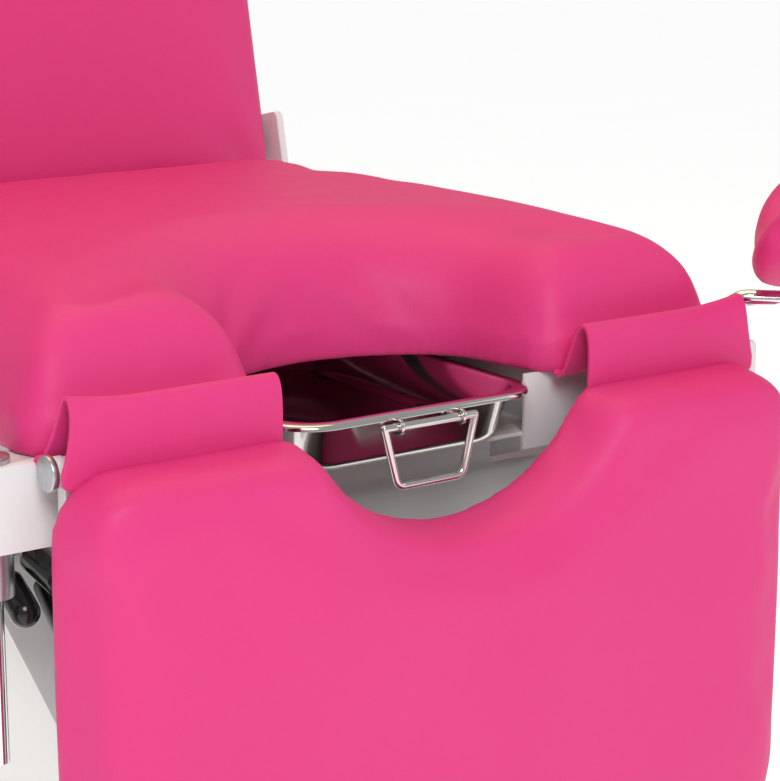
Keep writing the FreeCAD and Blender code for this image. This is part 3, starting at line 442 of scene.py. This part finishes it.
def blown(piece, pinned, cap):
    """Run the cloth with the pinned points held, cap how far a point moves, and return the largest swell."""
    before = points(piece)
    held = group_of(piece, "held", pinned(before))
    alone(piece)
    modifier = piece.modifiers.new("cloth", "CLOTH")
    settings = modifier.settings
    settings.use_pressure = True
    settings.uniform_pressure_force = CLOTH_PRESSURE
    settings.effector_weights.gravity = 0
    settings.vertex_group_mass = held
    settings.quality = 4
    settings.tension_stiffness = settings.compression_stiffness = CLOTH_STIFFNESS
    settings.bending_stiffness = CLOTH_STIFFNESS
    modifier.point_cache.frame_start, modifier.point_cache.frame_end = 1, CLOTH_FRAMES
    for step in range(1, CLOTH_FRAMES + 1):
        bpy.context.scene.frame_set(step)
    bpy.ops.object.modifier_apply(modifier="cloth")
    bpy.context.scene.frame_set(1)
    moved = points(piece) - before
    length = np.linalg.norm(moved, axis=1, keepdims=True)
    set_points(piece, before + moved * np.minimum(1, cap / np.maximum(length, 1e-9)))
    return float(length.max())


def cushion(node, name, voxel, pinned, soft, soften, cap, pulled=None):
    """Cushion from a CAD node: pinned and soft test the points that are held and smoothed most."""
    pad = copy_of(node, name)
    shaped(pad, "REMESH", mode="VOXEL", voxel_size=voxel)
    shaped(pad, "SMOOTH", factor=0.5, iterations=2)
    upper = group_of(pad, "soft", soft(points(pad)))
    shaped(pad, "DISPLACE", strength=-cap / 3, mid_level=0, vertex_group=upper)
    shaped(pad, "SMOOTH", factor=0.5, iterations=soften, vertex_group=upper)
    if pulled:
        set_points(pad, pulled(points(pad)))
    swell = blown(pad, pinned, cap)
    shaped(pad, "SMOOTH", factor=0.5, iterations=8, vertex_group=upper)
    pad.vertex_groups.clear()
    shaped(pad, "SUBSURF", levels=1, render_levels=1)
    alone(pad)
    bpy.ops.object.shade_smooth()
    stands_for(pad, node)
    print(name, len(pad.data.polygons), "faces, swelled", round(swell * 1000, 1), "mm")
    return pad


# %% [markdown]
# The seat is one broad crowned cushion with a deep U cut between two front lobes. Its lower rim stays
# crisp, because the cover is drawn round the board there, and its upper side is smoothed well. The cover
# pulls the two lobes together a little where they end.

# %% Seat cushion
RIM_HEIGHT = 0.014
LOBE_PULL = 0.022
seat_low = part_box("seat_cushion")[0]


def eased(value, start, end):
    """0 at start, 1 at end, smooth between."""
    share = np.clip((value - start) / (end - start), 0, 1)
    return share * share * (3 - 2 * share)


def seat_cover(places):
    """The rim drawn down to a crisp edge, and the lobes' inner sides drawn together."""
    height = places[:, 2] - seat_low.z
    rim = (height > 0) & (height < RIM_HEIGHT)
    places[rim, 2] = seat_low.z + height[rim] ** 3 / RIM_HEIGHT ** 2
    reach = eased(places[:, 1], at(0, 95, 0).y, at(0, 15, 0).y) * eased(np.abs(places[:, 0]), 0.290, 0.150)
    places[:, 0] -= np.sign(places[:, 0]) * LOBE_PULL * reach
    return places


seat = cushion("seat_cushion", "seat_pad", voxel=0.0062, soften=24, cap=0.006, pulled=seat_cover,
               pinned=lambda p: p[:, 2] < seat_low.z + 0.003,
               soft=lambda p: p[:, 2] > seat_low.z + 0.030)

# %% [markdown]
# The leg rest hangs from its hinge with its own, shallower U cut. It could be a cut-down copy of the seat,
# but its thickness and corners differ, so it starts from its own solid.

# %% Leg rest cushion
leg_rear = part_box("leg_rest_cushion")[1].y
leg = cushion("leg_rest_cushion", "leg_rest_pad", voxel=0.0062, soften=10, cap=0.005,
              pinned=lambda p: p[:, 1] > leg_rear - 0.002,
              soft=lambda p: p[:, 1] < leg_rear - 0.014)

# %% [markdown]
# The backrest leans back twelve degrees, so a point's depth is measured across that lean, from the hinge.
# A test on y alone would pin the pad's top and free its foot.

# %% Backrest cushion
LEAN = math.radians(78)
back_hinge = np.array(at(0, 640, 50))
back_face = np.array((0, -math.sin(LEAN), math.cos(LEAN)))


def from_back_hinge(p):
    return (p - back_hinge) @ back_face


back_depth = from_back_hinge(points(copy_of("backrest_cushion", "measure")))
print("backrest from", round(back_depth.min(), 3), "to", round(back_depth.max(), 3))
bpy.data.objects.remove(bpy.data.objects["measure"])
back = cushion("backrest_cushion", "backrest_pad", voxel=0.0075, soften=16, cap=0.009,
               pinned=lambda p: from_back_hinge(p) < back_depth.min() + 0.008,
               soft=lambda p: from_back_hinge(p) > back_depth.min() + 0.020)

# %% [markdown]
# A knee crutch is a padded gutter that lies in a saddle. The two are turned differently, so each is made
# from its own solid, and nothing on it is pinned, because the vinyl wraps it all round.

# %% Crutch pads
for side in ("left", "right"):
    pad = cushion(side + "_crutch_pad", side + "_knee_pad", voxel=0.0055, soften=4, cap=0.004,
                  pinned=lambda p: np.zeros(len(p), bool), soft=lambda p: np.ones(len(p), bool))


# %% [markdown]
# Two flaps of doubled vinyl bridge the hinge of the leg rest. Each one starts under the seat's front rim,
# stands up in a fold and comes down into a seam on the leg rest's upper edge. One edge is extruded along
# the fold, as a strip of card would be bent, and then gets its thickness. The outer end lifts and flares a
# little.

# %% Flaps
FOLD = [(-17, 2.5), (-21, 0.5), (-26, -0.5), (-31, 4), (-35.5, 14), (-40.5, 27), (-44, 36), (-47.5, 41.5),
        (-52, 44), (-56.5, 42.5), (-59.6, 37), (-61, 28), (-61.4, 17), (-61.2, 7), (-60.4, -2), (-60.4, -12)]
FOLD_HEIGHT = 0.044
FLAP_SHEET = 0.0034
FLAP_LIFT, FLAP_FLARE = 0.006, 0.008
FLARE_START, FLARE_REACH = 0.240, 0.060


def flap(node, name):
    low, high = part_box(node)
    start, after = at(0, *FOLD[0]), at(0, *FOLD[1])
    bpy.ops.object.select_all(action="DESELECT")
    bpy.ops.mesh.primitive_grid_add(x_subdivisions=18, y_subdivisions=1, size=1,
                                    location=((low.x + high.x) / 2, (start.y + after.y) / 2, start.z))
    piece = named(name)
    piece.scale = (high.x - low.x, start.y - after.y, 1)
    bpy.ops.object.transform_apply(location=True, rotation=True, scale=True)
    pick(piece, lambda middle, along: abs(along.x) > 0.9 and middle.y < (start.y + after.y) / 2, "EDGE")
    bpy.ops.transform.translate(value=(0, 0, after.z - start.z))
    for before, place in zip(FOLD[1:], FOLD[2:]):
        bpy.ops.mesh.extrude_region_move(TRANSFORM_OT_translate={"value": at(0, *place) - at(0, *before)})
    bpy.ops.object.mode_set(mode="OBJECT")
    shaped(piece, "SUBSURF", levels=2, render_levels=2)
    places = points(piece)
    outer = np.clip((np.abs(places[:, 0]) - FLARE_START) / FLARE_REACH, 0, 1) ** 2
    height = np.clip((places[:, 2] - at(0, 0, 0).z) / FOLD_HEIGHT, 0, 1)
    places[:, 2] += FLAP_LIFT * outer * height
    places[:, 0] += np.sign(places[:, 0]) * FLAP_FLARE * outer * (1 - height) ** 2
    set_points(piece, places)
    shaped(piece, "SOLIDIFY", thickness=FLAP_SHEET, offset=0)
    shaped(piece, "BEVEL", width=0.0009, segments=2, limit_method="ANGLE", angle_limit=math.radians(50))
    done(piece, 50)
    stands_for(piece, node)
    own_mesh(piece)


for side in ("left", "right"):
    flap(side + "_flap", side + "_fold_flap")


# %% [markdown]
# The drain pan is pressed from polished sheet, with a wide rolled rim. A block is opened at the top and
# tapered to its foot, its corners are bevelled, and the rim is extruded outwards in small steps that
# follow the roll. The sheet gets its thickness last.

# %% Drain pan
PAN_MOUTH = (105, -30, 290)
PAN_FOOT = 9
PAN_LEVELS = (-46, -6)
PAN_CORNER, PAN_FOOT_ROUND = 0.034, 0.009
PAN_SHEET = 0.0012
RIM_ROLL = [(0.8, 0.8), (1.2, 0.2), (6.0, 0.0), (1.2, -0.3), (0.6, -0.9), (0.1, -1.8)]
half, front, rear = PAN_MOUTH
middle = at(0, (front + rear) / 2, sum(PAN_LEVELS) / 2)
bpy.ops.object.select_all(action="DESELECT")
bpy.ops.mesh.primitive_cube_add(size=1, location=middle)
pan = named("steel_pan")
pan.scale = (half * 2 / 1000, (rear - front) / 1000, (PAN_LEVELS[1] - PAN_LEVELS[0]) / 1000)
bpy.ops.object.transform_apply(location=True, rotation=True, scale=True)
pick(pan, lambda centre, normal: normal.z < -0.9)
bpy.ops.transform.resize(value=(1 - PAN_FOOT / half, 1 - PAN_FOOT * 2 / (rear - front), 1),
                         center_override=middle)
pick(pan, lambda centre, normal: normal.z > 0.9)
bpy.ops.mesh.delete(type="FACE")
pick(pan, lambda centre, along: abs(along.z) > 0.6, "EDGE")
bpy.ops.mesh.bevel(offset=PAN_CORNER, segments=9, affect="EDGES")
pick(pan, lambda centre, along: centre.z < at(0, 0, PAN_LEVELS[0]).z + 0.0005, "EDGE")
bpy.ops.mesh.bevel(offset=PAN_FOOT_ROUND, segments=4, affect="EDGES")
pick(pan, lambda centre, along: centre.z > at(0, 0, PAN_LEVELS[1]).z - 0.0005, "EDGE")
out = 0
for step, rise in RIM_ROLL:
    bpy.ops.mesh.extrude_region_move(TRANSFORM_OT_translate={"value": (0, 0, rise / 1000)})
    grown = [(size + step) / size for size in (half + out, (rear - front) / 2 + out)]
    bpy.ops.transform.resize(value=(*grown, 1), center_override=middle)
    out += step
bpy.ops.object.mode_set(mode="OBJECT")
shaped(pan, "SOLIDIFY", thickness=PAN_SHEET, offset=-1)
done(pan, 40)
stands_for(pan, "drain_pan")
print("pan", [round(size * 1000) for size in pan.dimensions], "mm")


# %% [markdown]
# The other metal pieces already have the right shape, with knife-sharp edges. A copy of each is merged
# into clean faces and gets a small bevel, so that its edges catch the light as pressed and welded steel
# does.

# %% Softened metal
EDGES = {
    "base_front_foot": 1.2, "base_rear_foot": 1.2, "base_runners": 1.2, "column": 1.5, "base_fasteners": 0.6,
    "cradle_front_plate": 0.9, "cradle_rear_plate": 0.9, "cradle_sides": 0.9, "tilt_bearings": 1.0,
    "right_rail": 1.2, "left_rail": 1.2, "right_front_beam": 1.2, "left_front_beam": 1.2,
    "tilt_crossbar": 1.2, "mid_crossbar": 1.2, "rear_crossbar": 1.2, "spring_anchors": 0.8,
    "leg_rest_lugs": 0.8, "backrest_brackets": 0.8, "hinge_pins": 0.8, "lever_bracket": 0.6,
    "right_pan_runner": 0.6, "left_pan_runner": 0.6, "leg_rest_frame": 0.8, "backrest_frame": 0.8,
    "pan_lugs": 0.4, "front_pan_handle": 0, "rear_pan_handle": 0, "back_spring_cylinder": 0.8,
    "leg_spring_cylinder": 0.8, "tilt_spring_cylinder": 0.8, "back_spring_rod": 0.6, "leg_spring_rod": 0.6,
    "tilt_spring_rod": 0.6, "seat_tilt_lever_rod": 0.5, "backrest_lever_rod": 0.5, "leg_rest_lever_rod": 0.5,
    "left_support_bush": 0.6, "right_support_bush": 0.6, "left_clamp_knob": 0.8, "right_clamp_knob": 0.8,
    "left_support_rod": 1.0, "right_support_rod": 1.0, "left_crutch_clamp": 1.0, "right_crutch_clamp": 1.0,
    "seat_board": 0.8, "leg_rest_board": 0.8, "backrest_board": 0.8, "rubber_feet": 1.5,
}


def softened(node, width):
    piece = copy_of(node, node + "_dressed")
    bpy.ops.object.mode_set(mode="EDIT")
    bpy.ops.mesh.select_all(action="SELECT")
    bpy.ops.mesh.dissolve_limited(angle_limit=math.radians(1), delimit={"NORMAL"})
    bpy.ops.object.mode_set(mode="OBJECT")
    if width:
        shaped(piece, "BEVEL", width=width / 1000, segments=2, limit_method="ANGLE",
               angle_limit=math.radians(40), harden_normals=False)
    done(piece, 40)
    stands_for(piece, node)


for node, width in EDGES.items():
    softened(node, width)
print("softened", len(EDGES), "pieces")


# %% [markdown]
# Three release levers end in ball-ended grips, dipped in black plastic. The solid has a sharp lip at its
# open end. A fine remesh, a thin swell and some smoothing round it off as a dip coat does.

# %% Lever grips
DIP = 0.0004
for lever in ("seat_tilt", "backrest", "leg_rest"):
    node = lever + "_lever_grip"
    grip = copy_of(node, lever + "_dipped_grip")
    shaped(grip, "REMESH", mode="VOXEL", voxel_size=0.0012)
    shaped(grip, "DISPLACE", strength=DIP, mid_level=0)
    shaped(grip, "SMOOTH", factor=0.5, iterations=8)
    alone(grip)
    bpy.ops.object.shade_smooth()
    stands_for(grip, node)
    print(grip.name, len(grip.data.polygons), "faces")


# %% [markdown]
# Square tubes are closed at their open ends with pressed-in plastic plugs, or the edges would cut and the
# tube would rust from inside. A plug is a thin block whose corners are rounded and whose face is drawn out
# in shrinking steps to a low dome. The rails' plugs sit inside the tube, clear of the backrest's strap, and
# the front beams have welded end plates of the same shape, painted white.

# %% Tube plugs
PLUG_DEPTH, PLUG_CORNER = 0.004, 0.005
PLUG_DOME = [(0.94, 0.0012), (0.84, 0.0006), (0.7, 0.0002)]


def plug(name, end, across, outward, body, slot="black_grip"):
    """Plug on a tube's end, at a datum place; across is its size in x, y and z, with 0 along the tube."""
    along = max(range(3), key=lambda axis: abs(outward[axis]))
    outward = Vector(outward)
    size = [side / 1000 for side in across]
    size[along] = PLUG_DEPTH
    bpy.ops.object.select_all(action="DESELECT")
    bpy.ops.mesh.primitive_cube_add(size=1, location=at(*end))
    piece = named(name)
    piece.scale = size
    bpy.ops.object.transform_apply(location=True, rotation=True, scale=True)
    pick(piece, lambda centre, run: abs(run[along]) > 0.9, "EDGE")
    bpy.ops.mesh.bevel(offset=PLUG_CORNER, segments=4, affect="EDGES")
    pick(piece, lambda centre, normal: normal.dot(outward) > 0.9)
    for share, rise in PLUG_DOME:
        bpy.ops.mesh.extrude_region_move(TRANSFORM_OT_translate={"value": outward * rise})
        shrink = [1 if axis == along else share for axis in range(3)]
        bpy.ops.transform.resize(value=shrink, center_override=at(*end))
    done(piece)
    paint(piece, BY_SLOT[slot])
    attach(piece, body)


FOOT_ENDS = {"front": 0, "rear": 500}
for side, sign in (("left", -1), ("right", 1)):
    for foot, y in FOOT_ENDS.items():
        plug(f"{foot}_foot_{side}_plug", (sign * 311.5, y, -723), (0, 59, 49), (sign, 0, 0), "base")
    plug(f"{side}_beam_plug", (sign * 350, -2, -30), (0, 39, 59), (sign, 0, 0), "seat", "white_paint")
    plug(f"{side}_rail_plug", (sign * 210, 659.5, -30), (34.4, 0, 54.4), (0, 1, 0), "seat")
print("tube plugs made")


# %% [markdown]
# Button-head screws hold the boards and panels. One head is turned from a short cylinder: its rim is
# bevelled round and a socket is sunk into its crown. Copies go to every place, joined into one piece for
# each panel that they hold.

# %% One screw head
HEAD_RADIUS, HEAD_HEIGHT, HEAD_ROUND = 0.0065, 0.0036, 0.0022
SOCKET_RADIUS, SOCKET_DEPTH = 0.0026, 0.0020
bpy.ops.object.select_all(action="DESELECT")
bpy.ops.mesh.primitive_cylinder_add(vertices=24, radius=HEAD_RADIUS, depth=HEAD_HEIGHT,
                                    location=(0, 0, HEAD_HEIGHT / 2))
screw = named("screw_pattern")
bpy.ops.object.transform_apply(location=True, rotation=True, scale=True)
pick(screw, lambda centre, run: centre.z > HEAD_HEIGHT * 0.9, "EDGE")
bpy.ops.mesh.bevel(offset=HEAD_ROUND, segments=3, affect="EDGES")
pick(screw, lambda centre, normal: normal.z > 0.99)
bpy.ops.mesh.inset(thickness=HEAD_RADIUS - HEAD_ROUND - SOCKET_RADIUS)
bpy.ops.mesh.extrude_region_move(TRANSFORM_OT_translate={"value": (0, 0, -SOCKET_DEPTH)})
done(screw)
print("screw head", len(screw.data.polygons), "faces")


def screws(name, body, places, outward):
    """Screw heads on a panel; places are points of the frame in metres."""
    turned = Vector(outward).to_track_quat("Z", "Y").to_matrix().to_4x4()
    heads = []
    for place in places:
        head = bpy.data.objects.new(name, screw.data.copy())
        head.data.transform(turned)
        head.data.transform(turned.Translation(place))
        bpy.context.scene.collection.objects.link(head)
        heads.append(head)
    alone(heads[0])
    for head in heads:
        head.select_set(True)
    bpy.ops.object.join()
    piece = named(name)
    paint(piece, zinc)
    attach(piece, body)
    print(name, len(places), "heads")


# %% [markdown]
# The backrest board is screwed to two flat bars, and the leg rest board to a strap. The bars lean with the
# backrest, so their rear face is measured first.

# %% Screws of the boards
BAR_MIDDLE, BAR_SCREWS = 0.15, (0.14, 0.25, 0.35)
STRAP_SCREWS = (-255, -70, 80, 255)
frame_points = points(frame["nodes"]["backrest_frame"])
back_up = np.array((0, math.cos(LEAN), math.sin(LEAN)))
climb = (frame_points - back_hinge) @ back_up
on_bars = (climb > 0.2) & (np.abs(frame_points[:, 0]) < 0.2)
bar_depth = from_back_hinge(frame_points[on_bars]).min()
bar_places = [Vector(back_hinge + back_up * height + back_face * bar_depth) + Vector((x, 0, 0))
              for x in (-BAR_MIDDLE, BAR_MIDDLE) for height in BAR_SCREWS]
screws("backrest_screws", "backrest", bar_places, -Vector(back_face))
screws("leg_rest_screws", "leg_rest", [at(x, -39, -180) for x in STRAP_SCREWS], (0, 1, 0))


# %% [markdown]
# A pedestal has a service panel on its rear side, to reach what is inside the column. It is a thin sheet
# with rounded corners, laid on the column, whose face is drawn in a little so that its edge shows.

# %% Service panel
PANEL_WIDTH, PANEL_SHEET, PANEL_TALL = 0.20, 0.0016, 0.13
PANEL_CORNER, PANEL_RIM, PANEL_RAISE = 0.008, 0.0008, 0.0006
PANEL_MIDDLE, COLUMN_REAR = -585, 390
PANEL_SCREWS = [(x, PANEL_MIDDLE + rise) for x in (-88, 88) for rise in (-53, 53)]
bpy.ops.object.select_all(action="DESELECT")
bpy.ops.mesh.primitive_cube_add(size=1, location=at(0, COLUMN_REAR, PANEL_MIDDLE))
panel = named("service_panel")
panel.location.y += PANEL_SHEET / 2
panel.scale = (PANEL_WIDTH, PANEL_SHEET, PANEL_TALL)
bpy.ops.object.transform_apply(location=True, rotation=True, scale=True)
pick(panel, lambda centre, run: abs(run.y) > 0.9, "EDGE")
bpy.ops.mesh.bevel(offset=PANEL_CORNER, segments=4, affect="EDGES")
pick(panel, lambda centre, normal: normal.y > 0.9)
bpy.ops.mesh.inset(thickness=PANEL_RIM)
bpy.ops.transform.translate(value=(0, PANEL_RAISE, 0))
done(panel)
paint(panel, white_paint)
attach(panel, "base")
panel_face = Vector((0, PANEL_SHEET + PANEL_RAISE, 0))
screws("panel_screws", "base", [at(x, COLUMN_REAR, z) + panel_face for x, z in PANEL_SCREWS], (0, 1, 0))
bpy.data.objects.remove(screw)
print("service panel", [round(size * 1000, 1) for size in panel.dimensions], "mm")
